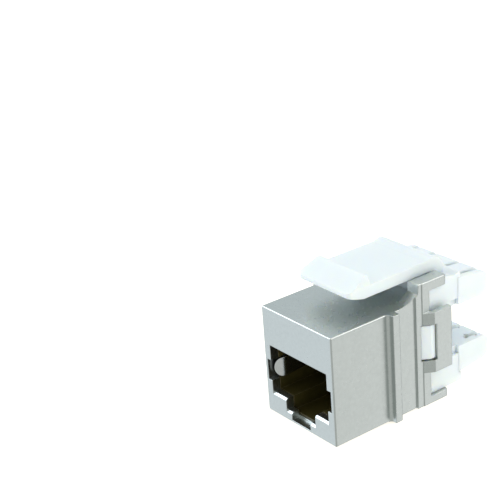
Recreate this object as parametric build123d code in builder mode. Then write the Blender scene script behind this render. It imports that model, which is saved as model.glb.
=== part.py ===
from build123d import *
import os
from math import cos, radians, sin, sqrt

os.makedirs("parts", exist_ok=True)

# Shielded keystone jack: a die-cast shell around a modular port, a moulded rear housing with a
# sprung latch arm, and two combs of insulation displacement blades.
# X runs to the right seen from the port side, Y from the port to the wire combs, Z up.
# The origin is under the middle of the jack, on the flat bottom, in the plane of the port face.

# Fits between pieces
static_gap = 0.05
slide_gap = 0.1
knuckle_gap = 0.12

# Shell, die cast
front_width = 14.5
front_height = 16.1
front_wall = 1.3
side_wall = 0.8
top_wall = 1.0
bottom_wall = 0.65
shell_length = 17.2
cast_edge_radius = 0.2

# Port outline in the front wall: roof, shield spring windows, floor ledge and latch channel
port_half_width = 5.95
port_roof = 10.5
window_half_width = 6.7
window_low = 5.0
window_high = 8.15
ledge_height = 3.2
ledge_half_width = 3.1
step_height = 1.5
channel_half_width = 1.97
channel_floor = 0.33
ledge_chamfer = 0.3
port_depth = 12.3
spring_pocket_end = 10.2

# Side ribs that stop against the rear of the panel
rib_front = 9.55
rib_root_radius = 0.45
rib_crest = 1.15
rib_height = 0.95

# Collar, ears and pads around the rear end of the shell
collar_front = 14.8
collar_step = 0.25
band_length = 1.3
band_step = 0.1
ear_inner = 5.45
ear_rise = 2.55
ear_thickness = 1.4
ear_length = 3.3
ear_edge_radius = 0.22
ear_corner_radius = 0.5
lower_ear_radius = 0.45
ramp_front = 12.05
ramp_rise = 1.2
ear_face_lean = 0.15
ear_from_collar = 0.55
lower_ear_thickness = 1.05
pad_low = 5.2
pad_height = 9.0
pad_step = 0.85
pad_wall = 0.8
pad_run = 1.4
pad_length = 3.2
snap_window_low = 7.0
snap_window_height = 5.45
snap_window_lead = 0.3
snap_window_length = 2.1

# Insert that carries the port contacts
sled_rear_wall = 1.0
sled_floor = 0.3
contact_count = 8
contact_pitch = 1.02
contact_width = 0.45
contact_thickness = 0.3
contact_slot = 0.62
contact_rise = 1.45
contact_row_rise = 0.95
contact_nose = 2.9
contact_bend_radius = 0.45
contact_drop = 1.2
contact_free_height = 8.1
comb_slot_depth = 0.6

# Circuit board
board_thickness = 1.2
board_margin = 0.5
pin_hole_gap = 0.1

# Shield springs in the side pockets of the port
spring_strip = 0.18
spring_tip = 0.85
spring_tip_half_width = 6.35
spring_crown = 2.15
spring_crown_half_width = 5.42
spring_anchor_start = 8.0
spring_edge_gap = 0.1
spring_end_gap = 0.3
spring_tip_radius = 1.35
spring_bend_radius = 0.4

# Rear housing
flange_inset = 0.2
flange_depth = 4.3
plate_drop = 0.75
plate_thickness = 0.85
plate_overhang = 2.1
floor_thickness = 1.25
plate_ridge = 0.35
plate_dish = 0.22
cheek_overhang = 1.6
cheek_wall = 0.9
cheek_notch_length = 1.5
cheek_notch_height = 1.15
cheek_notch_depth = 0.5
boss_root = 0.3
boss_crest = 0.75
boss_sink = 0.3
boss_end_gap = 0.3
label_recess = 0.6
label_wall_margin = 0.25
post_width = 1.2
bar_side_gap = 0.3
bar_height = 0.8
bar_length = 1.3
bar_pocket_half_width = 0.9
bar_pocket_length = 0.6
bar_pocket_depth = 0.5

# Wire combs, one above and one below the cable space
comb_thickness = 4.15
comb_length = 7.55
slot_width = 0.7
outer_prong_width = 1.0
centre_prong_width = 4.0
slot_root = 2.75
slot_lean = 1.3
nose_radius = 1.5
nose_slope = 0.45
centre_notch_width = 1.7
centre_notch_length = 1.1
centre_notch_depth = 0.9
prong_edge_radius = 0.2

# Insulation displacement blades
blade_thickness = 0.35
blade_span = 1.75
blade_from_nose = 2.3
blade_foot = 0.45
blade_below_top = 0.8
blade_mouth = 0.25
blade_fork = 0.24
blade_fork_depth = 1.9
blade_angle = 45
tail_width = 0.4
tail_inset = 1.05
channel_gap = 0.12

# Labels between the combs
label_thickness = 0.12
label_gap = 0.9
glue_gap = 0.01

# Latch arm
arm_side_gap = 0.15
arm_thickness = 1.7
arm_rise = 1.6
arm_swell = 0.3
arm_tip = 5.1
arm_tip_height = 0.6
arm_tip_lift = 0.7
arm_tip_run = 2.4
tooth_ridge = 8.4
tooth_land = 0.3
tooth_lean = 0.25
tooth_height = 1.3
tooth_end_bevel = 0.5
arm_corner_radius = 0.8
knuckle_radius = 1.3
knuckle_from_wall = 0.6
knuckle_rise = 0.7
shoulder_lead = 0.95
shoulder_run = 1.1
leg_half_gap = 2.4
leg_gap_lead = 0.2

# Stations along Y and levels along Z that follow from the sizes above
half_width = front_width / 2
cavity_half = half_width - side_wall
cavity_roof = front_height - top_wall
collar_half = half_width + collar_step
band_half = collar_half + band_step
band_front = shell_length - band_length
pad_half = band_half + pad_step
pad_front = band_front + pad_run
snap_window_front = band_front - snap_window_lead
rib_rear = rib_front + rib_root_radius + rib_crest
ear_top = front_height + ear_rise
ear_front = collar_front + ear_from_collar
ear_rear = shell_length + ear_length
sled_front = front_wall + static_gap
sled_rear = port_depth + sled_rear_wall
board_front = sled_rear + static_gap
board_rear = board_front + board_thickness
housing_front = board_rear + static_gap
flange_front = shell_length + static_gap
flange_half_width = half_width - flange_inset
flange_low = lower_ear_thickness + static_gap
flange_high = ear_top - ear_thickness - static_gap
wall_rear = flange_front + flange_depth
plate_top = ear_top - plate_drop
comb_front = wall_rear + static_gap
comb_rear = comb_front + comb_length
comb_high_top = plate_top - plate_thickness - static_gap
comb_low_bottom = flange_low + floor_thickness + static_gap
comb_high_bottom = comb_high_top - comb_thickness
comb_low_top = comb_low_bottom + comb_thickness
comb_middle = (comb_high_bottom + comb_low_top) / 2
comb_inner = comb_high_bottom - comb_middle
comb_outer = comb_high_top - comb_middle
tail_place = comb_inner + tail_inset
blade_reach = comb_outer - blade_below_top
arm_half = ear_inner - arm_side_gap
arm_top = ear_top + arm_rise
arm_low = arm_top - arm_thickness
knuckle_y = wall_rear - knuckle_from_wall
knuckle_z = plate_top + knuckle_rise
insert_half = cavity_half - slide_gap
insert_low = bottom_wall + slide_gap
insert_high = cavity_roof - slide_gap
contact_level = port_roof + contact_rise
contact_places = [(n - (contact_count - 1) / 2) * contact_pitch for n in range(contact_count)]
outer_slot_place = flange_half_width - outer_prong_width - slot_width / 2
inner_slot_place = (centre_prong_width + slot_width) / 2
slot_places = [-outer_slot_place, -inner_slot_place, inner_slot_place, outer_slot_place]
both_sides = (-1, 1)


def across(y):
    """Plane across the jack at depth y, with sketch axes X and Z; a negative extrude goes rearward."""
    return Plane.XZ.offset(-y)


def save(part, name):
    """Label a finished piece and write it to its own file."""
    part.label = name
    export_step(part, "parts/" + name + ".step")


# Shell
with BuildPart() as shell:
    with BuildSketch(across(0)) as front_face:
        Rectangle(front_width, front_height, align=(Align.CENTER, Align.MIN))
    extrude(amount=-shell_length)
    outline_edges = shell.edges().group_by(Axis.Y)[0] + shell.edges().filter_by(Axis.Y)
    fillet(outline_edges, cast_edge_radius)

    # Ribs on both sides, with a hollow root in front
    for side in both_sides:
        with BuildSketch(Plane.XY) as rib_section:
            with BuildLine() as rib_line:
                root = side * half_width
                crest = side * (half_width + rib_height)
                inside = side * (half_width - side_wall / 2)
                run = rib_root_radius * sqrt(0.5)
                lift = side * (rib_root_radius - run)
                Polyline((inside, rib_rear), (inside, rib_front), (root, rib_front))
                corner = side * (half_width + rib_root_radius)
                ThreePointArc(
                    (root, rib_front), (root + lift, rib_front + run), (corner, rib_front + rib_root_radius)
                )
                Polyline(
                    (corner, rib_front + rib_root_radius),
                    (crest, rib_front + rib_root_radius),
                    (crest, rib_rear),
                    (inside, rib_rear),
                )
            make_face()
        extrude(amount=front_height)

    # Collar that stands out around the rear end, in two bands
    with BuildSketch(across(collar_front)) as collar_section:
        Rectangle(2 * collar_half, front_height, align=(Align.CENTER, Align.MIN))
    extrude(amount=-(shell_length - collar_front))
    with BuildSketch(across(band_front)) as band_section:
        Rectangle(2 * band_half, front_height, align=(Align.CENTER, Align.MIN))
    extrude(amount=-band_length)

    # Ears on top: behind the rib the side wall sweeps up in a hollow curve
    wall_outline = (
        (half_width, rib_rear, collar_front),
        (collar_half, collar_front, band_front),
        (band_half, band_front, ear_rear),
    )
    for outside, front_end, rear_end in wall_outline:
        with BuildSketch(Plane.YZ.offset(ear_inner)) as ear_outline:
            with BuildLine() as ear_line:
                ramp_end = (ear_front - ear_face_lean, front_height + ramp_rise)
                TangentArc((ramp_front, front_height), ramp_end, tangent=(1, 0))
                Polyline(
                    ramp_end,
                    (ear_front, ear_top),
                    (ear_rear, ear_top),
                    (ear_rear, ear_top - ear_thickness),
                    (shell_length, ear_top - ear_thickness),
                    (shell_length, cavity_roof),
                    (rib_rear, cavity_roof),
                    (rib_rear, front_height),
                    (ramp_front, front_height),
                )
            make_face()
            with Locations((front_end, 0)):
                Rectangle(
                    rear_end - front_end, 2 * ear_top, align=(Align.MIN, Align.MIN), mode=Mode.INTERSECT
                )
        extrude(amount=outside - ear_inner)
    mirror(about=Plane.YZ)
    ear_ends = shell.edges().filter_by(Axis.Z).group_by(Axis.Y)[-1].group_by(Axis.X)
    fillet(ear_ends[0] + ear_ends[-1], ear_corner_radius)
    ear_edges = shell.edges().group_by(Axis.Z)[-1]
    fillet(ear_edges, ear_edge_radius)

    # Lower ears, rounded at the tip
    for side in both_sides:
        with BuildSketch(Plane.XY) as lower_ear:
            with Locations((side * (ear_inner + band_half) / 2, shell_length)):
                lower_blank = Rectangle(band_half - ear_inner, ear_length, align=(Align.CENTER, Align.MIN))
            fillet(lower_blank.vertices().group_by(Axis.Y)[-1], lower_ear_radius)
        extrude(amount=lower_ear_thickness)

    # Cavity for the insert, the board and the plug of the rear housing
    with BuildSketch(across(front_wall)) as cavity_section:
        with Locations((0, bottom_wall)):
            Rectangle(2 * cavity_half, cavity_roof - bottom_wall, align=(Align.CENTER, Align.MIN))
    extrude(amount=-(shell_length - front_wall), mode=Mode.SUBTRACT)

    # Pads that stand outside the housing, joined to the collar by a slanted wall
    for side in both_sides:
        with BuildSketch(Plane.XY.offset(pad_low)) as pad_section:
            with BuildLine() as pad_line:
                Polyline(
                    (side * band_half, band_front),
                    (side * pad_half, pad_front),
                    (side * pad_half, pad_front + pad_length),
                    (side * (pad_half - pad_wall), pad_front + pad_length),
                    (side * (pad_half - pad_wall), shell_length),
                    (side * cavity_half, shell_length),
                    (side * cavity_half, band_front),
                    close=True,
                )
            make_face()
        extrude(amount=pad_height)

    # Snap windows through the collar and the slanted walls
    with BuildSketch(Plane.XY.offset(snap_window_low)) as snap_window:
        with Locations((0, snap_window_front)):
            Rectangle(2 * (pad_half + slide_gap), snap_window_length, align=(Align.CENTER, Align.MIN))
    extrude(amount=snap_window_height, mode=Mode.SUBTRACT)

    # Port outline through the front wall
    with BuildSketch(across(0)) as port_outline:
        with BuildLine() as port_line:
            Polyline(
                (0, port_roof),
                (port_half_width, port_roof),
                (port_half_width, window_high),
                (window_half_width, window_high),
                (window_half_width, window_low),
                (port_half_width, window_low),
                (port_half_width, ledge_height),
                (ledge_half_width, ledge_height),
                (ledge_half_width, step_height),
                (channel_half_width, step_height),
                (channel_half_width, channel_floor),
                (0, channel_floor),
            )
            mirror(about=Plane.YZ)
        make_face()
    extrude(amount=-front_wall, mode=Mode.SUBTRACT)

    # Pockets in the side walls for the shield springs
    with BuildSketch(across(0)) as pocket_section:
        with Locations((0, window_low)):
            Rectangle(2 * window_half_width, window_high - window_low, align=(Align.CENTER, Align.MIN))
    extrude(amount=-spring_pocket_end, mode=Mode.SUBTRACT)

    # Lead-in chamfers on the ledges
    face_edges = shell.edges().filter_by(Axis.X).group_by(Axis.Y)[0]
    chamfer_reach = ledge_chamfer / 2
    ledge_edges = face_edges.filter_by_position(
        Axis.Z, step_height - chamfer_reach, ledge_height + chamfer_reach
    )
    chamfer(ledge_edges, ledge_chamfer)
save(shell.part, "shell")

# Insert with the roof, rear wall and ledges of the port
with BuildPart() as contact_sled:
    with BuildSketch(across(sled_front)) as sled_section:
        with Locations((0, insert_low)):
            Rectangle(2 * insert_half, insert_high - insert_low, align=(Align.CENTER, Align.MIN))
    extrude(amount=-(sled_rear - sled_front))
    with BuildSketch(across(sled_front)) as sled_port:
        with Locations((0, ledge_height)):
            Rectangle(2 * port_half_width, port_roof - ledge_height, align=(Align.CENTER, Align.MIN))
        with Locations((0, insert_low + sled_floor)):
            Rectangle(
                2 * ledge_half_width,
                ledge_height - insert_low - sled_floor,
                align=(Align.CENTER, Align.MIN),
            )
    extrude(amount=-(port_depth - sled_front), mode=Mode.SUBTRACT)
    with BuildSketch(across(sled_front)) as sled_windows:
        with Locations((0, window_low)):
            Rectangle(2 * cavity_half, window_high - window_low, align=(Align.CENTER, Align.MIN))
    extrude(amount=-(spring_pocket_end - sled_front), mode=Mode.SUBTRACT)
    for number, place in enumerate(contact_places):
        rise = contact_row_rise * (number % 2)
        slot_top = contact_level + contact_slot / 2
        with BuildSketch(Plane.YZ.offset(place - contact_slot / 2)) as contact_groove:
            with Locations((contact_nose - contact_slot, port_roof)):
                Rectangle(sled_rear - contact_nose + contact_slot, slot_top - port_roof, align=Align.MIN)
            with Locations((port_depth - 2 * rise, port_roof)):
                Rectangle(sled_rear_wall + 2 * rise, slot_top + rise - port_roof, align=Align.MIN)
            with Locations((port_depth, contact_free_height - contact_slot)):
                Rectangle(comb_slot_depth, port_roof - contact_free_height + contact_slot, align=Align.MIN)
        extrude(amount=contact_slot, mode=Mode.SUBTRACT)
save(contact_sled.part, "contact_sled")

# Port contacts: pinned in the board, led forward under the roof, bent back into the port
for number, place in enumerate(contact_places):
    level = contact_level + contact_row_rise * (number % 2)
    with BuildPart() as contact_spring:
        with BuildSketch(Plane.YZ.offset(place - contact_width / 2)) as contact_outline:
            with BuildLine() as contact_path:
                bend_low = contact_level - contact_drop
                bend_points = [
                    (contact_nose, contact_level),
                    (contact_nose, bend_low),
                    (port_depth + comb_slot_depth / 2, contact_free_height),
                ]
                if number % 2:
                    jog_front = port_depth - 2 * contact_row_rise
                    jog_rear = jog_front + contact_row_rise
                    bend_points = [(jog_rear, level), (jog_front, contact_level)] + bend_points
                FilletPolyline((board_rear - static_gap, level), *bend_points, radius=contact_bend_radius)
            trace(line_width=contact_thickness)
        extrude(amount=contact_width)
    save(contact_spring.part, "contact_spring_" + str(number + 1))

# Circuit board with holes for the contact pins and the blade tails
with BuildPart() as circuit_board:
    with BuildSketch(across(board_front)) as board_outline:
        with Locations((0, insert_low + board_margin)):
            Rectangle(
                2 * insert_half,
                insert_high - insert_low - 2 * board_margin,
                align=(Align.CENTER, Align.MIN),
            )
        for number, place in enumerate(contact_places):
            with Locations((place, contact_level + contact_row_rise * (number % 2))):
                Circle(contact_width / 2 * sqrt(2) + pin_hole_gap / 2, mode=Mode.SUBTRACT)
        for place in slot_places:
            with Locations((place, comb_middle - tail_place), (place, comb_middle + tail_place)):
                Rectangle(tail_width + pin_hole_gap, tail_width + pin_hole_gap, mode=Mode.SUBTRACT)
    extrude(amount=-board_thickness)
save(circuit_board.part, "circuit_board")

# Shield springs: a bent strip with a rounded tip behind the port face
strip_low = window_low + spring_edge_gap
strip_high = window_high - spring_edge_gap
strip_outer = window_half_width - static_gap
for side, name in zip(both_sides, ("ground_spring_left", "ground_spring_right")):
    with BuildPart() as ground_spring:
        with BuildSketch(Plane.XY.offset(strip_low)) as strip_section:
            with BuildLine() as strip_path:
                FilletPolyline(
                    (side * spring_tip_half_width, spring_tip),
                    (side * (spring_crown_half_width + spring_strip / 2), spring_crown),
                    (side * (strip_outer - spring_strip / 2), spring_anchor_start),
                    (side * (strip_outer - spring_strip / 2), spring_pocket_end - spring_end_gap),
                    radius=spring_bend_radius,
                )
            trace(line_width=spring_strip)
        extrude(amount=strip_high - strip_low)
        with BuildSketch(Plane.YZ.offset(-half_width)) as tip_outline:
            with Locations((0, strip_low)):
                strip_blank = Rectangle(spring_pocket_end, strip_high - strip_low, align=Align.MIN)
            fillet(strip_blank.vertices().group_by(Axis.Y)[0], spring_tip_radius)
        extrude(amount=front_width, mode=Mode.INTERSECT)
    save(ground_spring.part, name)

# Rear housing: a plug in the shell, a flange behind it, plates and cheeks around the combs
with BuildPart() as rear_housing:
    with BuildSketch(across(housing_front)) as plug_section:
        with Locations((0, flange_low)):
            Rectangle(2 * insert_half, insert_high - flange_low, align=(Align.CENTER, Align.MIN))
    extrude(amount=-(flange_front - housing_front))
    with BuildSketch(across(flange_front)) as flange_section:
        with Locations((0, flange_low)):
            Rectangle(2 * flange_half_width, flange_high - flange_low, align=(Align.CENTER, Align.MIN))
        with Locations((0, flange_low)):
            Rectangle(2 * arm_half, plate_top - flange_low, align=(Align.CENTER, Align.MIN))
    extrude(amount=-flange_depth)

    # Top plate behind the ears, and cheeks beside the roots of both combs
    plate_front = ear_rear + static_gap
    with BuildSketch(Plane.YZ.offset(-flange_half_width)) as plate_section:
        with Locations((plate_front, comb_high_top + static_gap)):
            Rectangle(
                wall_rear + plate_overhang - plate_front,
                plate_top - comb_high_top - static_gap,
                align=Align.MIN,
            )
    extrude(amount=2 * flange_half_width)
    with BuildSketch(Plane.YZ.offset(-flange_half_width)) as floor_section:
        with Locations((wall_rear, flange_low)):
            Rectangle(plate_overhang, comb_low_bottom - static_gap - flange_low, align=Align.MIN)
    extrude(amount=2 * flange_half_width)
    for side in both_sides:
        with BuildSketch(across(wall_rear)) as cheek_section:
            cheek_x = side * (flange_half_width - cheek_wall / 2)
            with Locations((cheek_x, comb_high_bottom)):
                Rectangle(cheek_wall, plate_top - comb_high_bottom, align=(Align.CENTER, Align.MIN))
            with Locations((cheek_x, flange_low)):
                Rectangle(cheek_wall, comb_low_top - flange_low, align=(Align.CENTER, Align.MIN))
        extrude(amount=-cheek_overhang)

    # Latch notches at the rear of the cheeks
    for side in both_sides:
        with BuildSketch(Plane.YZ.offset(side * (flange_half_width - cheek_notch_depth))) as cheek_notch:
            with Locations((wall_rear + cheek_overhang, comb_high_bottom)):
                Rectangle(cheek_notch_length, cheek_notch_height, align=(Align.MAX, Align.MIN))
            with Locations((wall_rear + cheek_overhang, comb_low_top)):
                Rectangle(cheek_notch_length, cheek_notch_height, align=(Align.MAX, Align.MAX))
        extrude(amount=side * cheek_notch_depth, mode=Mode.SUBTRACT)

    # Dished top plate with a ridge along its rear edge
    dish_length = plate_overhang - plate_ridge
    with BuildSketch(Plane.YZ.offset(-flange_half_width)) as dish_section:
        with BuildLine() as dish_line:
            dish_end = wall_rear + dish_length
            ThreePointArc(
                (wall_rear, plate_top), (wall_rear + dish_length / 2, plate_top - plate_dish), (dish_end, plate_top)
            )
            Line((dish_end, plate_top), (wall_rear, plate_top))
        make_face()
    extrude(amount=2 * flange_half_width, mode=Mode.SUBTRACT)

    # Snap bosses in the windows of the shell, ramped towards the front
    boss_low = snap_window_low + boss_end_gap
    boss_front = snap_window_front + slide_gap
    boss_rear = snap_window_front + snap_window_length - slide_gap
    for side in both_sides:
        with BuildSketch(Plane.XY.offset(boss_low)) as boss_section:
            with BuildLine() as boss_line:
                Polyline(
                    (side * (insert_half - boss_root), boss_front),
                    (side * (collar_half - slide_gap), boss_front),
                    (side * (pad_half - boss_sink), boss_rear - boss_crest),
                    (side * (pad_half - boss_sink), boss_rear),
                    (side * (insert_half - boss_root), boss_rear),
                    close=True,
                )
            make_face()
        extrude(amount=snap_window_height - boss_end_gap - slide_gap)

    # Recess for the labels
    with BuildSketch(across(wall_rear - label_recess)) as recess_section:
        with Locations((0, comb_low_top + label_wall_margin)):
            Rectangle(
                2 * (flange_half_width - post_width),
                comb_high_bottom - comb_low_top - 2 * label_wall_margin,
                align=(Align.CENTER, Align.MIN),
            )
    extrude(amount=-label_recess, mode=Mode.SUBTRACT)

    # Bar between the legs of the latch arm
    with BuildSketch(Plane.XY.offset(plate_top)) as bar_outline:
        with Locations((0, wall_rear)):
            Rectangle(2 * (leg_half_gap - bar_side_gap), bar_length, align=(Align.CENTER, Align.MAX))
    extrude(amount=bar_height)
    with BuildSketch(Plane.XY.offset(plate_top + bar_height)) as bar_pocket:
        with Locations((0, wall_rear - bar_length)):
            Rectangle(2 * bar_pocket_half_width, bar_pocket_length, align=(Align.CENTER, Align.MIN))
    extrude(amount=-bar_pocket_depth, mode=Mode.SUBTRACT)

    # Half-round seats for the legs of the latch arm
    seat_radius = knuckle_radius + knuckle_gap
    for side in both_sides:
        with BuildSketch(Plane.YZ.offset(side * (leg_half_gap + arm_half) / 2)) as seat_section:
            with Locations((knuckle_y, knuckle_z)):
                Circle(seat_radius)
        extrude(amount=(arm_half - leg_half_gap) / 2 + knuckle_gap, both=True, mode=Mode.SUBTRACT)

    # Channels for the blade tails
    with BuildSketch(across(housing_front)) as channel_section:
        for place in slot_places:
            with Locations((place, comb_middle - tail_place), (place, comb_middle + tail_place)):
                Rectangle(tail_width + channel_gap, tail_width + channel_gap)
    extrude(amount=-(wall_rear - housing_front), mode=Mode.SUBTRACT)
save(rear_housing.part, "rear_housing")

# Wire combs: five prongs and four slots, slanted slot roots, rounded noses
blade_y = comb_rear - blade_from_nose
root_half = flange_half_width - cheek_wall - static_gap
for name, flip in (("upper_idc_comb", 1), ("lower_idc_comb", -1)):
    with BuildPart() as comb:
        inner = comb_middle + flip * comb_inner
        outer = comb_middle + flip * comb_outer
        nose_top = outer - flip * nose_slope
        with BuildSketch(Plane.YZ.offset(-flange_half_width)) as comb_profile:
            with BuildLine() as comb_line:
                Polyline(
                    (comb_front, inner + flip * static_gap),
                    (comb_front, outer),
                    (wall_rear + plate_overhang, outer),
                    (comb_rear - nose_radius, nose_top),
                )
                nose_run = nose_radius * sqrt(0.5)
                ThreePointArc(
                    (comb_rear - nose_radius, nose_top),
                    (comb_rear - nose_radius + nose_run, nose_top - flip * (nose_radius - nose_run)),
                    (comb_rear, nose_top - flip * nose_radius),
                )
                Polyline(
                    (comb_rear, nose_top - flip * nose_radius),
                    (comb_rear, inner + flip * nose_slope * 2),
                    (comb_rear - 2 * nose_slope, inner + flip * static_gap),
                    (comb_front, inner + flip * static_gap),
                )
            make_face()
        extrude(amount=2 * flange_half_width)

        # Root narrowed between the cheeks of the housing
        for side in both_sides:
            with BuildSketch(Plane.YZ.offset(side * root_half)) as root_trim:
                with Locations((comb_front, comb_middle)):
                    Rectangle(
                        wall_rear + cheek_overhang + static_gap - comb_front,
                        2 * comb_outer,
                        align=(Align.MIN, Align.CENTER),
                    )
            extrude(amount=side * (flange_half_width - root_half), mode=Mode.SUBTRACT)

        # Slots, deeper on the outside than on the cable side
        for place in slot_places:
            with BuildSketch(Plane.YZ.offset(place - slot_width / 2)) as slot_section:
                with BuildLine() as slot_line:
                    slot_start = comb_front + slot_root
                    Polyline(
                        (slot_start, outer),
                        (comb_rear, outer),
                        (comb_rear, inner),
                        (slot_start + slot_lean, inner),
                        close=True,
                    )
                make_face()
            extrude(amount=slot_width, mode=Mode.SUBTRACT)

        # Softened edges along the outer side and round the nose of each prong
        prong_edges = comb.edges().filter_by(
            lambda edge: edge.bounding_box().size.X < static_gap
            and edge.center().Y > slot_start + prong_edge_radius
            and abs(edge.center().Z - comb_middle) > abs(nose_top - comb_middle) - nose_radius / 2
        )
        fillet(prong_edges, prong_edge_radius)

        # Notch at the root of the middle prong
        with BuildSketch(Plane.XY.offset(outer)) as notch_outline:
            with Locations((0, wall_rear + plate_overhang + static_gap)):
                Rectangle(centre_notch_width, centre_notch_length, align=(Align.CENTER, Align.MIN))
        extrude(amount=-flip * centre_notch_depth, mode=Mode.SUBTRACT)

        # Slits that hold the blades, and channels for their tails
        with BuildSketch(Plane.XY.offset(inner)) as slit_outline:
            for place in slot_places:
                with Locations(Location((place, blade_y), blade_angle)):
                    Rectangle(blade_span + channel_gap, blade_thickness + channel_gap)
        extrude(amount=flip * (blade_reach + static_gap - comb_inner), mode=Mode.SUBTRACT)
        with BuildSketch(across(comb_front)) as tail_section:
            for place in slot_places:
                with Locations((place, comb_middle + flip * tail_place)):
                    Rectangle(tail_width + channel_gap, tail_width + channel_gap)
        extrude(amount=-(blade_y - comb_front), mode=Mode.SUBTRACT)
    save(comb.part, name)

# Blades: a fork turned across its slot, with a tail that runs forward into the board
for number in range(contact_count):
    flip = 1 if number < len(slot_places) else -1
    place = slot_places[number % len(slot_places)]
    with BuildPart() as contact_blade:
        foot = comb_middle + flip * (tail_place - blade_foot)
        crown = comb_middle + flip * blade_reach
        turn = radians(blade_angle)
        blade_plane = Plane(
            (place, blade_y, foot), x_dir=(cos(turn), sin(turn), 0), z_dir=(sin(turn), -cos(turn), 0)
        )
        with BuildSketch(blade_plane) as fork_outline:
            with BuildLine() as fork_line:
                fork_height = abs(crown - foot)
                fork_floor = fork_height - blade_fork_depth
                mouth = blade_span / 2 - blade_mouth
                Polyline(
                    (0, 0),
                    (blade_span / 2, 0),
                    (blade_span / 2, flip * fork_height),
                    (mouth, flip * fork_height),
                    (blade_fork / 2, flip * (fork_height - mouth)),
                    (blade_fork / 2, flip * fork_floor),
                    (0, flip * fork_floor),
                )
                mirror(about=Plane.YZ)
            make_face()
        extrude(amount=blade_thickness / 2, both=True)
        with BuildSketch(across(board_front + static_gap)) as blade_tail:
            with Locations((place, comb_middle + flip * tail_place)):
                Rectangle(tail_width, tail_width)
        extrude(amount=-(blade_y - board_front - static_gap))
    save(contact_blade.part, "contact_blade_" + str(number + 1))

# Labels in the recess between the combs
label_low = comb_low_top + 2 * label_wall_margin
label_height = comb_high_bottom - comb_low_top - 4 * label_wall_margin
label_width = flange_half_width - post_width - label_gap / 2 - label_wall_margin
for side, name in zip(both_sides, ("wiring_label_right", "wiring_label_left")):
    with BuildPart() as wiring_label:
        with BuildSketch(across(wall_rear - label_recess + glue_gap)) as label_outline:
            with Locations((side * (label_gap / 2 + label_width / 2), label_low)):
                Rectangle(label_width, label_height, align=(Align.CENTER, Align.MIN))
        extrude(amount=-label_thickness)
    save(wiring_label.part, name)

# Latch arm: a flat spring with a tooth near its tip, on two round-footed legs
with BuildPart() as latch_arm:
    with BuildSketch(Plane.YZ.offset(-arm_half)) as arm_profile:
        with BuildLine() as arm_line:
            tip_low = arm_low + arm_tip_lift
            foot_drop = knuckle_z - arm_low
            knee = (knuckle_y - sqrt(knuckle_radius**2 - foot_drop**2), arm_low)
            foot_rear = (knuckle_y + knuckle_radius, knuckle_z)
            shoulder = (knuckle_y - shoulder_lead, arm_top + arm_swell)
            tooth_rear = tooth_ridge + tooth_land + tooth_lean
            Polyline(
                knee,
                (arm_tip + arm_tip_run, arm_low),
                (arm_tip, tip_low),
                (arm_tip, tip_low + arm_tip_height),
                (tooth_ridge, arm_top + tooth_height),
                (tooth_ridge + tooth_land, arm_top + tooth_height),
                (tooth_rear, arm_top),
                (knuckle_y - shoulder_lead - shoulder_run, arm_top),
                shoulder,
            )
            TangentArc(shoulder, foot_rear, tangent=(1, 0))
            ThreePointArc(foot_rear, (knuckle_y, knuckle_z - knuckle_radius), knee)
        make_face()
    extrude(amount=2 * arm_half)

    # Gap between the legs
    with BuildSketch(Plane.XY.offset(knuckle_z - knuckle_radius)) as leg_gap:
        with Locations((0, knuckle_y - knuckle_radius - leg_gap_lead)):
            Rectangle(2 * leg_half_gap, 2 * knuckle_radius + leg_gap_lead, align=(Align.CENTER, Align.MIN))
    extrude(amount=2 * knuckle_radius, mode=Mode.SUBTRACT)

    # Rounded tip corners and bevelled ends of the tooth
    tip_edges = latch_arm.edges().filter_by(Axis.Z).group_by(Axis.Y)[0]
    fillet(tip_edges, arm_corner_radius)
    for side in both_sides:
        with BuildSketch(Plane.XZ.offset(-arm_tip)) as tooth_end:
            with BuildLine() as bevel_line:
                Polyline(
                    (side * (arm_half - tooth_end_bevel), arm_top + tooth_height),
                    (side * arm_half, arm_top + tooth_height),
                    (side * arm_half, arm_top),
                    close=True,
                )
            make_face()
        extrude(amount=-(tooth_rear - arm_tip), mode=Mode.SUBTRACT)
save(latch_arm.part, "latch_arm")
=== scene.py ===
# %% [markdown]
# # A shielded keystone jack on a pale studio floor
# The solids of the jack come from its CAD model and stay exactly as they are. What this script
# gives them is their surface: nickel plating on a zinc casting, glossy white polycarbonate, printed
# film, gold and tin on the contacts. Only the two thin springs in the port are formed anew here,
# because their punched ends are rounder than the CAD strip. A floor, lights and a camera come last.
# One Blender unit is one metre, so a millimetre is 0.001.

# %% Load the frame
import math

import bmesh
import bpy
from mathutils import Matrix, Vector


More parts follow.
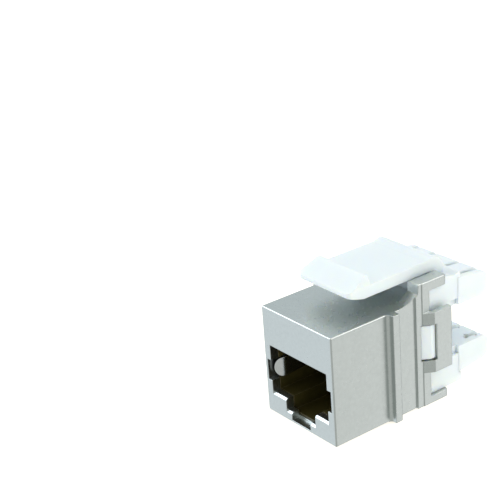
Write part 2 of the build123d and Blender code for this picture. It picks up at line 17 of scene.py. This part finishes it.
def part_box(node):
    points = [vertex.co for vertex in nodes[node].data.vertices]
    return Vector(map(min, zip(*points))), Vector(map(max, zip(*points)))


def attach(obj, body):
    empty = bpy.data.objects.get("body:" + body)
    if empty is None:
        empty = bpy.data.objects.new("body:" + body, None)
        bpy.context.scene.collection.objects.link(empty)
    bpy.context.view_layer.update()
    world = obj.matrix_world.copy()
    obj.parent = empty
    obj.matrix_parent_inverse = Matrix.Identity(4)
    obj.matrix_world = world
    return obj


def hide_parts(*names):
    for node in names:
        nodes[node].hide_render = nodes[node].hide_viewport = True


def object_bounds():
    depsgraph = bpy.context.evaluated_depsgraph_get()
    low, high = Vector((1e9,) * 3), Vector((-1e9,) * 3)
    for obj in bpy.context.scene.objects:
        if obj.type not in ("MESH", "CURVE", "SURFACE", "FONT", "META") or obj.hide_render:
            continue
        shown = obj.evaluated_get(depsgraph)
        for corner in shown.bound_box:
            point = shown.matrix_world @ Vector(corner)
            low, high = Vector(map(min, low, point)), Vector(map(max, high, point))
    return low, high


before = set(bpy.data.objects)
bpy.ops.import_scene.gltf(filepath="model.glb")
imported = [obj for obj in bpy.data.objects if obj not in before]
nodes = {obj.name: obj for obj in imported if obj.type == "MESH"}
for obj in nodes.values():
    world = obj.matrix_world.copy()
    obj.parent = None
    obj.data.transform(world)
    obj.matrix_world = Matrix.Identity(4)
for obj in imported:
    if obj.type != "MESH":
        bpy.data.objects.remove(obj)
cad_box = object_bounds()
MM = 0.001


# %% [markdown]
# ## Colours and nodes
# A colour is easiest to pick and to compare as an sRGB hex value, but the shaders work with linear
# light, so one function does that conversion. A second function adds a node to a material: keyword
# arguments are the node's own settings, and the dictionary fills its inputs, with a number or with
# a link from another node's output. Both keep the materials below short enough to read. Patterns
# are placed by object coordinates, which need no unwrapping and are metres on every piece, so the
# scale of a noise is one divided by the size of its features.

# %% Colour conversion and one node helper
def linear(hex_colour):
    """Turn an sRGB hex value such as #C0C0C0 into linear RGBA."""
    channels = [int(hex_colour[n : n + 2], 16) / 255 for n in (1, 3, 5)]
    curve = [c / 12.92 if c <= 0.04045 else ((c + 0.055) / 1.055) ** 2.4 for c in channels]
    return (*curve, 1.0)


def per_metre(millimetres):
    """Noise scale that gives features of about this many millimetres."""
    return 1 / (millimetres * MM)


def add(tree, kind, inputs=None, **settings):
    """Add a node, apply its settings, and set or link its inputs."""
    new = tree.nodes.new(kind)
    for name, value in settings.items():
        setattr(new, name, value)
    for name, value in (inputs or {}).items():
        if isinstance(value, bpy.types.NodeSocket):
            tree.links.new(value, new.inputs[name])
        else:
            new.inputs[name].default_value = value
    return new


def new_material(name):
    """An empty node material, with its tree and the object coordinates that every pattern uses."""
    material = bpy.data.materials.new(name)
    material.use_nodes = True
    tree = material.node_tree
    tree.nodes.clear()
    place = add(tree, "ShaderNodeTexCoord").outputs["Object"]
    return material, tree, place


print("mid grey #808080 is", round(linear("#808080")[0], 3), "in linear light")


# %% [markdown]
# ## Nickel plating on a zinc casting
# The shell is a zinc die casting that was tumbled and then plated with satin nickel. Plating copies
# the surface under it, so the eye sees a fine grain, a mottle of paler spots about half a
# millimetre wide, and broad clouds of a few millimetres. The real grain is finer than a pixel, so
# it is drawn at 0.3 mm to show at all. Tumbling also rounds every edge a little. That could be cut
# into the mesh, but a Bevel node bends the normals instead and gives the same light line without a
# change to the CAD solid. Metallic is 1 and the IOR keeps its default, so the colour does the rest.
# Each pattern below has a name, a size in millimetres and a detail. A noise seldom leaves 0.3 to
# 0.7, so those two values stand for its ends.

# %% Satin nickel
NICKEL_PATTERNS = (("cloud", 5.0, 1.0), ("mottle", 0.5, 3.0), ("grain", 0.3, 2.0))
NICKEL_ROUGHNESS = (0.27, 0.34)
NICKEL_GRAIN_HEIGHT = 0.002 * MM
NICKEL_GRAIN_STRENGTH = 0.5
NOISE_ENDS = (0.3, 0.7)
TUMBLED_EDGE = 0.16 * MM
EDGE_SAMPLES = 6


def satin_nickel():
    """Neutral grey metal with clouds, a mottle, a fine grain and rounded edges."""
    material, tree, place = new_material("satin nickel on zinc die casting")
    pattern = {
        name: add(
            tree,
            "ShaderNodeTexNoise",
            {"Vector": place, "Scale": per_metre(size), "Detail": detail},
        ).outputs["Fac"]
        for name, size, detail in NICKEL_PATTERNS
    }
    tint = linear("#BEC3C2")
    for name, colour in (("cloud", "#C5CAC9"), ("mottle", "#D0D5D4")):
        tint = add(
            tree,
            "ShaderNodeMix",
            {"Factor": pattern[name], "A": tint, "B": linear(colour)},
            data_type="RGBA",
        ).outputs[2]
    matt = add(
        tree,
        "ShaderNodeMapRange",
        {
            "Value": pattern["grain"],
            "From Min": NOISE_ENDS[0],
            "From Max": NOISE_ENDS[1],
            "To Min": NICKEL_ROUGHNESS[0],
            "To Max": NICKEL_ROUGHNESS[1],
        },
    )
    rounded = add(tree, "ShaderNodeBevel", {"Radius": TUMBLED_EDGE}, samples=EDGE_SAMPLES)
    grain = add(
        tree,
        "ShaderNodeBump",
        {
            "Height": pattern["grain"],
            "Strength": NICKEL_GRAIN_STRENGTH,
            "Distance": NICKEL_GRAIN_HEIGHT,
            "Normal": rounded.outputs["Normal"],
        },
    )
    shader = add(
        tree,
        "ShaderNodeBsdfPrincipled",
        {
            "Base Color": tint,
            "Metallic": 1.0,
            "Roughness": matt.outputs["Result"],
            "Normal": grain.outputs["Normal"],
        },
    )
    add(tree, "ShaderNodeOutputMaterial", {"Surface": shader.outputs["BSDF"]})
    return material


nickel = satin_nickel()
print("made", nickel.name)


# %% [markdown]
# ## White polycarbonate
# The rear housing, the combs and the latch arm are injection moulded in white polycarbonate, from a
# tool that was polished but not lapped. It gives a soft gloss, faint flow marks and a colour that
# is a touch blue, because white polymers are brightened with a blue tint. A little light goes into
# the wall and out again, which is what subsurface scattering does for the thin prongs, up to about
# a millimetre deep. The tool's texture is finer than a pixel and is drawn at 0.12 mm. The Bevel node
# rounds the moulded edges as it did for the metal, only less.

# %% Moulded white plastic
FLOW_SIZE = 6.0
FLOW_SWIRL = 0.4
SKIN_SIZE = 0.12
SKIN_HEIGHT = 0.002 * MM
SKIN_STRENGTH = 0.15
PLASTIC_ROUGHNESS = (0.28, 0.31)
POLYCARBONATE_IOR = 1.58
LIGHT_DEPTH = 1.2 * MM
LIGHT_DEPTH_BY_COLOUR = (1.0, 0.8, 0.5)
MOULDED_EDGE = 0.1 * MM


def white_polycarbonate():
    """Bluish white plastic with a soft gloss, faint flow marks and a little depth."""
    material, tree, place = new_material("white polycarbonate, injection moulded")
    flow = add(
        tree,
        "ShaderNodeTexNoise",
        {"Vector": place, "Scale": per_metre(FLOW_SIZE), "Detail": 1.0, "Distortion": FLOW_SWIRL},
    ).outputs["Fac"]
    tint = add(
        tree,
        "ShaderNodeMix",
        {"Factor": flow, "A": linear("#E3EDF5"), "B": linear("#E8F1F7")},
        data_type="RGBA",
    )
    gloss = add(
        tree,
        "ShaderNodeMapRange",
        {
            "Value": flow,
            "From Min": NOISE_ENDS[0],
            "From Max": NOISE_ENDS[1],
            "To Min": PLASTIC_ROUGHNESS[0],
            "To Max": PLASTIC_ROUGHNESS[1],
        },
    )
    texture = add(
        tree, "ShaderNodeTexNoise", {"Vector": place, "Scale": per_metre(SKIN_SIZE), "Detail": 2.0}
    )
    rounded = add(tree, "ShaderNodeBevel", {"Radius": MOULDED_EDGE}, samples=EDGE_SAMPLES)
    skin = add(
        tree,
        "ShaderNodeBump",
        {
            "Height": texture.outputs["Fac"],
            "Strength": SKIN_STRENGTH,
            "Distance": SKIN_HEIGHT,
            "Normal": rounded.outputs["Normal"],
        },
    )
    shader = add(
        tree,
        "ShaderNodeBsdfPrincipled",
        {
            "Base Color": tint.outputs[2],
            "Roughness": gloss.outputs["Result"],
            "IOR": POLYCARBONATE_IOR,
            "Subsurface Weight": 0.5,
            "Subsurface Radius": LIGHT_DEPTH_BY_COLOUR,
            "Subsurface Scale": LIGHT_DEPTH,
            "Normal": skin.outputs["Normal"],
        },
    )
    add(tree, "ShaderNodeOutputMaterial", {"Surface": shader.outputs["BSDF"]})
    return material


plastic = white_polycarbonate()
print("made", plastic.name)


# %% [markdown]
# ## Black insert, circuit board and metals of the contacts
# Deep in the port are a glass-filled black polyester insert and eight contacts. Glass fibre makes
# the black slightly brown and dull. Behind it is the circuit board, glass fibre laminate under a
# glossy green solder mask. The contacts are phosphor bronze with a skin of gold, the blades have a
# skin of duller tin, and the two shield springs are stainless strip. Each could have its own
# function, but all of them are small, so one function makes them from a table: a dark and a light
# tone, the tone of a painted edge highlight, metallic, roughness, and the size and height of the
# grain in millimetres. An edge is where the rounded normal of a Bevel node turns away from the flat
# one, and there the colour goes over to a paler one, which is a highlight painted along every edge.

# %% Small plain finishes
# The third colour of each row is the paler tone of the painted edge highlight.
FINISHES = {
    "glass-filled black polyester": ("#312E12", "#47401D", "#8C8468", 0.0, 0.4, 0.9, 0.004),
    "green solder mask on circuit board": ("#0F4A2A", "#15582F", "#8E9A6C", 0.0, 0.3, 0.6, 0.004),
    "bright stainless spring strip": ("#D2D3D4", "#DEDFE0", "#ECEDEE", 1.0, 0.24, 0.5, 0.002),
    "gold plated bronze": ("#EDBE60", "#F6CC74", "#FFDF9A", 1.0, 0.36, 0.4, 0.002),
    "tin plated bronze": ("#BDB9B0", "#CAC7BF", "#DEDCD6", 1.0, 0.34, 0.3, 0.004),
}
# Where the painted edge highlight starts, where it is full, and the largest share it takes.
EDGE_HIGHLIGHT_STARTS = 0.98
EDGE_HIGHLIGHT_FULL = 0.8
MOST_EDGE_HIGHLIGHT = 0.8
FINE_GRAIN_STRENGTH = 0.3


def plain_finish(name):
    """A finish from the table, with a change of tone, a painted highlight on its edges and a fine
    unevenness.
    """
    dark, light, edge, metallic, roughness, grain_size, grain_height = FINISHES[name]
    material, tree, place = new_material(name)
    noise = add(
        tree,
        "ShaderNodeTexNoise",
        {"Vector": place, "Scale": per_metre(grain_size), "Detail": 3.0},
    ).outputs["Fac"]
    rounded = add(
        tree, "ShaderNodeBevel", {"Radius": MOULDED_EDGE}, samples=EDGE_SAMPLES
    ).outputs["Normal"]
    flat = add(tree, "ShaderNodeNewGeometry").outputs["True Normal"]
    facing = add(tree, "ShaderNodeVectorMath", {0: rounded, 1: flat}, operation="DOT_PRODUCT")
    # Painted highlight: a paler colour where the rounded normal turns away from the flat one.
    painted_edge_highlight = add(
        tree,
        "ShaderNodeMapRange",
        {
            "Value": facing.outputs["Value"],
            "From Min": EDGE_HIGHLIGHT_STARTS,
            "From Max": EDGE_HIGHLIGHT_FULL,
            "To Max": MOST_EDGE_HIGHLIGHT,
        },
    ).outputs["Result"]
    tint = linear(dark)
    for share, colour in ((noise, light), (painted_edge_highlight, edge)):
        tint = add(
            tree,
            "ShaderNodeMix",
            {"Factor": share, "A": tint, "B": linear(colour)},
            data_type="RGBA",
        ).outputs[2]
    skin = add(
        tree,
        "ShaderNodeBump",
        {
            "Height": noise,
            "Strength": FINE_GRAIN_STRENGTH,
            "Distance": grain_height * MM,
            "Normal": rounded,
        },
    )
    shader = add(
        tree,
        "ShaderNodeBsdfPrincipled",
        {
            "Base Color": tint,
            "Metallic": metallic,
            "Roughness": roughness,
            "Normal": skin.outputs["Normal"],
        },
    )
    add(tree, "ShaderNodeOutputMaterial", {"Surface": shader.outputs["BSDF"]})
    return material


finishes = {name: plain_finish(name) for name in FINISHES}
print("made", len(finishes), "small finishes")


# %% [markdown]
# ## Printed wiring labels
# Between the combs sit two strips of printed polyester film that show which wire goes where. Film
# gives flat strong colours under an even satin skin. Each strip has four fields, and a field is one
# colour, or a colour and white split along its diagonal. An image texture could carry the print,
# but four fields are easily drawn from the position on the strip: the object coordinates are scaled
# so that the strip runs from 0 to 1 both ways, and each field is a product of four comparisons.

# %% Label print
PRINT = {
    "teal": "#14648C",
    "blue": "#06469A",
    "brown": "#7A2A16",
    "green": "#0C7030",
    "orange": "#DA6A12",
    "white": "#EEF0F2",
    "line": "#20242C",
}
FIELD_LINE = 0.02
LABEL_FIELDS = {
    "wiring_label_left": (("blue", "teal"), ("blue", "teal")),
    "wiring_label_right": (("orange", "brown"), ("green", "brown")),
}
SPLIT_FIELDS = ("teal", "brown", "green")
FILM_GRAIN_SIZE = 0.2
FILM_GRAIN_HEIGHT = 0.003 * MM
FILM_GRAIN_STRENGTH = 0.2
FILM_ROUGHNESS = 0.35
POLYESTER_IOR = 1.57


def printed_film(label):
    """Film with two rows of two fields, where the first row is the lower one."""
    material, tree, place = new_material("printed polyester film, " + label.replace("_", " "))
    low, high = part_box(label)
    size = high - low
    scaled = add(
        tree,
        "ShaderNodeMapping",
        {
            "Vector": place,
            "Location": (-low.x / size.x, 0, -low.z / size.z),
            "Scale": (1 / size.x, 1, 1 / size.z),
        },
    )
    axes = add(tree, "ShaderNodeSeparateXYZ", {"Vector": scaled.outputs["Vector"]})
    across = axes.outputs["X"]
    up = axes.outputs["Z"]
    colour = linear(PRINT["line"])
    for row, names in enumerate(LABEL_FIELDS[label]):
        for column, name in enumerate(names):
            left = column / 2 + FIELD_LINE
            right = (column + 1) / 2 - FIELD_LINE
            bottom = row / 2 + FIELD_LINE
            top = (row + 1) / 2 - FIELD_LINE
            inside = 1.0
            for kind, value, limit in (
                ("GREATER_THAN", across, left),
                ("LESS_THAN", across, right),
                ("GREATER_THAN", up, bottom),
                ("LESS_THAN", up, top),
            ):
                test = add(tree, "ShaderNodeMath", {0: value, 1: limit}, operation=kind)
                inside = add(
                    tree, "ShaderNodeMath", {0: inside, 1: test.outputs[0]}, operation="MULTIPLY"
                ).outputs[0]
            field = linear(PRINT[name])
            if name in SPLIT_FIELDS:
                slope = add(
                    tree, "ShaderNodeMath", {0: across, 1: left - bottom}, operation="SUBTRACT"
                )
                white_side = add(
                    tree, "ShaderNodeMath", {0: slope.outputs[0], 1: up}, operation="LESS_THAN"
                )
                field = add(
                    tree,
                    "ShaderNodeMix",
                    {"Factor": white_side.outputs[0], "A": linear(PRINT["white"]), "B": field},
                    data_type="RGBA",
                ).outputs[2]
            colour = add(
                tree,
                "ShaderNodeMix",
                {"Factor": inside, "A": colour, "B": field},
                data_type="RGBA",
            ).outputs[2]
    film = add(
        tree,
        "ShaderNodeTexNoise",
        {"Vector": place, "Scale": per_metre(FILM_GRAIN_SIZE), "Detail": 2.0},
    )
    skin = add(
        tree,
        "ShaderNodeBump",
        {
            "Height": film.outputs["Fac"],
            "Strength": FILM_GRAIN_STRENGTH,
            "Distance": FILM_GRAIN_HEIGHT,
        },
    )
    shader = add(
        tree,
        "ShaderNodeBsdfPrincipled",
        {
            "Base Color": colour,
            "Roughness": FILM_ROUGHNESS,
            "IOR": POLYESTER_IOR,
            "Normal": skin.outputs["Normal"],
        },
    )
    add(tree, "ShaderNodeOutputMaterial", {"Surface": shader.outputs["BSDF"]})
    return material


labels = {name: printed_film(name) for name in LABEL_FIELDS}
print("made", len(labels), "printed labels")


# %% [markdown]
# ## Finishes on the CAD nodes
# The CAD solids already have the real shapes, so each one only gets its material. Their faces were
# cut into triangles, and the curved ones are shaded smooth by the normals that came with them. The
# two shield springs are left out here, because the next step makes them.

# %% Give each node its material
NODE_FINISHES = (
    ("shell", nickel),
    ("rear_housing", plastic),
    ("upper_idc_comb", plastic),
    ("lower_idc_comb", plastic),
    ("latch_arm", plastic),
    ("contact_sled", finishes["glass-filled black polyester"]),
    ("circuit_board", finishes["green solder mask on circuit board"]),
    ("contact_spring", finishes["gold plated bronze"]),
    ("contact_blade", finishes["tin plated bronze"]),
    ("wiring_label_left", labels["wiring_label_left"]),
    ("wiring_label_right", labels["wiring_label_right"]),
)
for start, material in NODE_FINISHES:
    for name in sorted(n for n in nodes if n.startswith(start)):
        nodes[name].data.materials.clear()
        nodes[name].data.materials.append(material)
print("materials on", sum(bool(o.data.materials) for o in nodes.values()), "nodes")


# %% [markdown]
# ## Shield springs
# Each side pocket of the port holds a spring of thin strip that touches the shield of the plug. Its
# free end is punched to a half round and leads in behind the face, its crown stands into the port,
# and from there it runs back to the wall. It could be swept along a curve, but a swept strip ends
# square. So the strip is a grid of points: every row starts where the half round lets it, then
# follows the same smooth line inside the box of the CAD strip. A solidify modifier gives the grid
# its thickness and a bevel softens the punched edges. Each spring rides on the jack's body, takes
# the stainless spring finish from the table of small finishes and replaces the CAD strip in the
# picture.

# %% Line of a spring
STRIP = 0.18 * MM
CROWN_BACK = 1.3 * MM
ANCHOR_FROM_END = 1.9 * MM
LEAD_SHARE = 0.72
BEND = 0.45 * MM
BEND_STEPS = 8


def spring_line(side, low, high):
    """Corners of the strip's middle line, from the free end to the anchored end."""
    inner, outer = (low.x, high.x) if side > 0 else (high.x, low.x)
    lead = (outer - inner) * LEAD_SHARE
    return [
        Vector((inner + lead, low.y, 0)),
        Vector((inner + side * STRIP / 2, low.y + CROWN_BACK, 0)),
        Vector((outer - side * STRIP / 2, high.y - ANCHOR_FROM_END, 0)),
        Vector((outer - side * STRIP / 2, high.y, 0)),
    ]


def rounded_line(corners):
    """The same line with a small arc at each inner corner."""
    points = [corners[0]]
    for before, corner, after in zip(corners, corners[1:], corners[2:]):
        first = corner + (before - corner).normalized() * BEND
        last = corner + (after - corner).normalized() * BEND
        for part in range(BEND_STEPS + 1):
            t = part / BEND_STEPS
            points.append(first.lerp(corner, t).lerp(corner.lerp(last, t), t))
    return points + [corners[-1]]


def point_along(points, distance):
    """The point at this distance from the start of a line."""
    for start, end in zip(points, points[1:]):
        run = (end - start).length
        if distance <= run:
            return start.lerp(end, distance / run)
        distance -= run
    return points[-1]


print("strip", round(STRIP / MM, 2), "mm thick, bent", round(BEND / MM, 2), "mm before its corners")

# %% Grid of a spring with a half-round free end
END_ROUND = 1.35 * MM
ROWS = 24
STEPS = 60


def strip_mesh(name, side):
    """A sheet of points whose rows start on the half round and follow the spring's line."""
    low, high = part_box(name)
    corners = spring_line(side, low, high)
    points = rounded_line(corners)
    length = sum((b - a).length for a, b in zip(corners, corners[1:]))
    half_width = (high.z - low.z) / 2
    build = bmesh.new()
    grid = []
    for row in range(ROWS + 1):
        rise = 2 * row / ROWS - 1
        start = END_ROUND * (1 - math.sqrt(max(0.0, 1 - rise**2)))
        lift = Vector((0, 0, low.z + half_width + rise * half_width))
        stations = [start + (length - start) * step / STEPS for step in range(STEPS + 1)]
        grid.append([build.verts.new(point_along(points, s) + lift) for s in stations])
    for lower, upper in zip(grid, grid[1:]):
        for step in range(STEPS):
            face = build.faces.new((lower[step], lower[step + 1], upper[step + 1], upper[step]))
            face.smooth = True
    bmesh.ops.recalc_face_normals(build, faces=build.faces)
    mesh = bpy.data.meshes.new(name + "_formed")
    build.to_mesh(mesh)
    build.free()
    print(name, "is", round(length / MM, 1), "mm long with", len(mesh.polygons), "faces")
    return mesh


# %% Form both springs
PUNCHED_EDGE = 0.03 * MM

for name, side in (("ground_spring_left", -1), ("ground_spring_right", 1)):
    spring = bpy.data.objects.new(name + "_formed", strip_mesh(name, side))
    bpy.context.scene.collection.objects.link(spring)
    spring.data.materials.append(finishes["bright stainless spring strip"])
    sheet = spring.modifiers.new("strip thickness", "SOLIDIFY")
    sheet.thickness = STRIP
    sheet.offset = 0
    soft = spring.modifiers.new("punched edge", "BEVEL")
    soft.width = PUNCHED_EDGE
    soft.segments = 2
    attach(spring, "jack")
    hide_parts(name)


# %% [markdown]
# ## Floor
# A product photo of a small part is often taken on white card that is lit from below, so that no
# shadow and no edge of the card shows. The floor is a large sheet of matt card with a faint fibre
# and a glow of its own. It is kept out of reflections, because the metal in the photograph mirrors
# the room and not the card.

# %% Matt white card
FIBRE_SIZE = 1.5
FIBRE_HEIGHT = 0.02 * MM
FIBRE_STRENGTH = 0.05
CARD_ROUGHNESS = 0.85
CARD_GLOW = 0.62


def white_card():
    """White card with a faint fibre and a glow of its own."""
    material, tree, place = new_material("matt white card")
    fibre = add(
        tree,
        "ShaderNodeTexNoise",
        {"Vector": place, "Scale": per_metre(FIBRE_SIZE), "Detail": 4.0},
    )
    skin = add(
        tree,
        "ShaderNodeBump",
        {
            "Height": fibre.outputs["Fac"],
            "Strength": FIBRE_STRENGTH,
            "Distance": FIBRE_HEIGHT,
        },
    )
    shader = add(
        tree,
        "ShaderNodeBsdfPrincipled",
        {
            "Base Color": linear("#F4F5F6"),
            "Roughness": CARD_ROUGHNESS,
            "Emission Color": linear("#FFF4E0"),
            "Emission Strength": CARD_GLOW,
            "Normal": skin.outputs["Normal"],
        },
    )
    add(tree, "ShaderNodeOutputMaterial", {"Surface": shader.outputs["BSDF"]})
    return material


card = white_card()
print("made", card.name)

# %% Floor
FLOOR_HALF = 3.0

mesh = bpy.data.meshes.new("studio_floor")
build = bmesh.new()
bmesh.ops.create_grid(build, x_segments=1, y_segments=1, size=FLOOR_HALF)
build.to_mesh(mesh)
build.free()
floor = bpy.data.objects.new("studio_floor", mesh)
bpy.context.scene.collection.objects.link(floor)
floor.location.z = cad_box[0].z
floor.data.materials.append(card)
floor.visible_glossy = False
print("floor at Z", round(floor.location.z / MM, 2), "mm")


# %% [markdown]
# ## Studio light
# Metal shows its surroundings more than its own colour, so the room comes first. Walls could be
# built for it, but a dome painted by direction does the same and casts no shadow. Low down it is
# cool at the left for the port face and whiter at the right for the flank. Higher up it is grey for
# the top, and straight overhead it is warmer, which the plastic shows most. The front right and the
# rear stay darker, so that edges keep their shape and the view from behind isn't washed out. The
# tones are laid over each other like glazes, each with its own cover. A cover is a part of the
# direction, such as its height, with the value where it starts, the value where it is full, and
# how it fades in between.

# %% Covers of the room's tones
UNLIT_SIDE = (0.814, -0.581, 0.0)
LEVEL = (1, 1, 0)

world = bpy.data.worlds.new("soft dome")
world.use_nodes = True
bpy.context.scene.world = world
dome = world.node_tree
dome.nodes.clear()

aim = add(dome, "ShaderNodeTexCoord").outputs["Generated"]
height = add(dome, "ShaderNodeSeparateXYZ", {"Vector": aim}).outputs["Z"]
level_aim = add(dome, "ShaderNodeVectorMath", {0: aim, 1: LEVEL}, operation="MULTIPLY")
heading = add(
    dome, "ShaderNodeVectorMath", {0: level_aim.outputs["Vector"]}, operation="NORMALIZE"
).outputs["Vector"]
toward = add(dome, "ShaderNodeVectorMath", {0: heading, 1: UNLIT_SIDE}, operation="DOT_PRODUCT")
compass = add(dome, "ShaderNodeSeparateXYZ", {"Vector": heading}).outputs
COVERS = {
    "right": (compass["X"], -0.8, 0.8, "LINEAR"),
    "high": (height, 0.0, 0.25, "SMOOTHSTEP"),
    "overhead": (height, 0.6, 0.95, "SMOOTHSTEP"),
    "unlit": (toward.outputs["Value"], 0.0, 0.55, "SMOOTHSTEP"),
    "rear": (compass["Y"], 0.8, 1.0, "SMOOTHSTEP"),
}
cover = {
    name: add(
        dome,
        "ShaderNodeMapRange",
        {"Value": value, "From Min": start, "From Max": full},
        interpolation_type=fade,
    ).outputs["Result"]
    for name, (value, start, full, fade) in COVERS.items()
}
print("covers:", ", ".join(cover))

# %% Tones of the room, laid over each other
ROOM_STRENGTH = 1.3

low_room, high_room = (
    add(
        dome,
        "ShaderNodeMix",
        {"Factor": cover["right"], "A": linear(left), "B": linear(right)},
        data_type="RGBA",
    ).outputs[2]
    for left, right in (("#DAE1E5", "#FFFFFC"), ("#BDC6C9", "#DCDEDF"))
)
GLAZES = (
    ("high", high_room),
    ("unlit", linear("#B3B6B2")),
    ("rear", linear("#A0A6A8")),
    ("overhead", linear("#E6E1D6")),
)
room = low_room
for name, tone in GLAZES:
    room = add(
        dome, "ShaderNodeMix", {"Factor": cover[name], "A": room, "B": tone}, data_type="RGBA"
    ).outputs[2]
sky = add(dome, "ShaderNodeBackground", {"Color": room, "Strength": ROOM_STRENGTH})
add(dome, "ShaderNodeOutputWorld", {"Surface": sky.outputs["Background"]})
print("glazes over the low room:", len(GLAZES))


# %% [markdown]
# ## Softboxes
# A dome alone leaves a part flat, so two softboxes give it direct light. Both are large for so
# small a part, which keeps every shadow soft. The stronger, cooler one stands at the front left and
# the weaker, warmer one at the right rear. Each row of the table is a name, a place in metres,
# watts and a colour.

# %% Two softboxes
SOFTBOX_WIDTH = 0.36
SOFTBOXES = (
    ("front_left", (-0.45, -0.23, 0.32), 1.3, "#F2F7FF"),
    ("rear_right", (0.23, 0.32, 0.45), 0.8, "#FFFDF8"),
)

target = (cad_box[0] + cad_box[1]) / 2
for name, place, watts, colour in SOFTBOXES:
    light = bpy.data.lights.new(name, "AREA")
    light.shape = "SQUARE"
    light.size = SOFTBOX_WIDTH
    light.energy = watts
    light.color = linear(colour)[:3]
    box = bpy.data.objects.new(name, light)
    box.location = Vector(place)
    box.rotation_euler = (target - box.location).to_track_quat("-Z", "Y").to_euler()
    bpy.context.scene.collection.objects.link(box)
print("softboxes:", len(SOFTBOXES))


# %% [markdown]
# ## Camera
# The photograph looks at the jack from its right front and from above. The camera was fitted to the
# corners of the port face and the edges of the flank, which gave the direction, a slight roll, the
# distance and the lens. The jack stands right of and below the middle of the picture. A shifted lens
# could do that, but here the camera itself is moved left and up, and looks past the jack. A camera
# looks along its own -Z, so its axes in the room are right, upward and back, one per column.

# %% Camera at the photograph's viewing angle
CAMERA_AZIMUTH = math.radians(54.5)
CAMERA_ELEVATION = math.radians(22.75)
CAMERA_ROLL = math.radians(-4.58)
CAMERA_DISTANCE = 180 * MM
CAMERA_LEFT = 14.33 * MM
CAMERA_UP = 13.1 * MM
CAMERA_NEAREST = 1 * MM
LENS_PIXELS = 1304.2
IMAGE_PIXELS = 500
SENSOR = 36.0
JACK_MIDDLE = Vector((0, 10 * MM, 9 * MM))
DOWN = Vector((0, 0, -1))

back = Vector(
    (
        math.sin(CAMERA_AZIMUTH) * math.cos(CAMERA_ELEVATION),
        -math.cos(CAMERA_AZIMUTH) * math.cos(CAMERA_ELEVATION),
        math.sin(CAMERA_ELEVATION),
    )
)
right = Matrix.Rotation(CAMERA_ROLL, 3, back) @ back.cross(DOWN).normalized()
upward = back.cross(right)
stand = JACK_MIDDLE + back * CAMERA_DISTANCE - right * CAMERA_LEFT + upward * CAMERA_UP
axes = Matrix((right, upward, back)).transposed().to_4x4()
camera_data = bpy.data.cameras.new("camera")
camera_data.sensor_width = SENSOR
camera_data.lens = LENS_PIXELS / IMAGE_PIXELS * SENSOR
camera_data.clip_start = CAMERA_NEAREST
camera = bpy.data.objects.new("camera", camera_data)
camera.matrix_world = Matrix.Translation(stand) @ axes
bpy.context.scene.collection.objects.link(camera)
bpy.context.scene.camera = camera
bpy.context.scene.view_settings.view_transform = "Standard"
print("lens", round(camera_data.lens, 1), "mm")
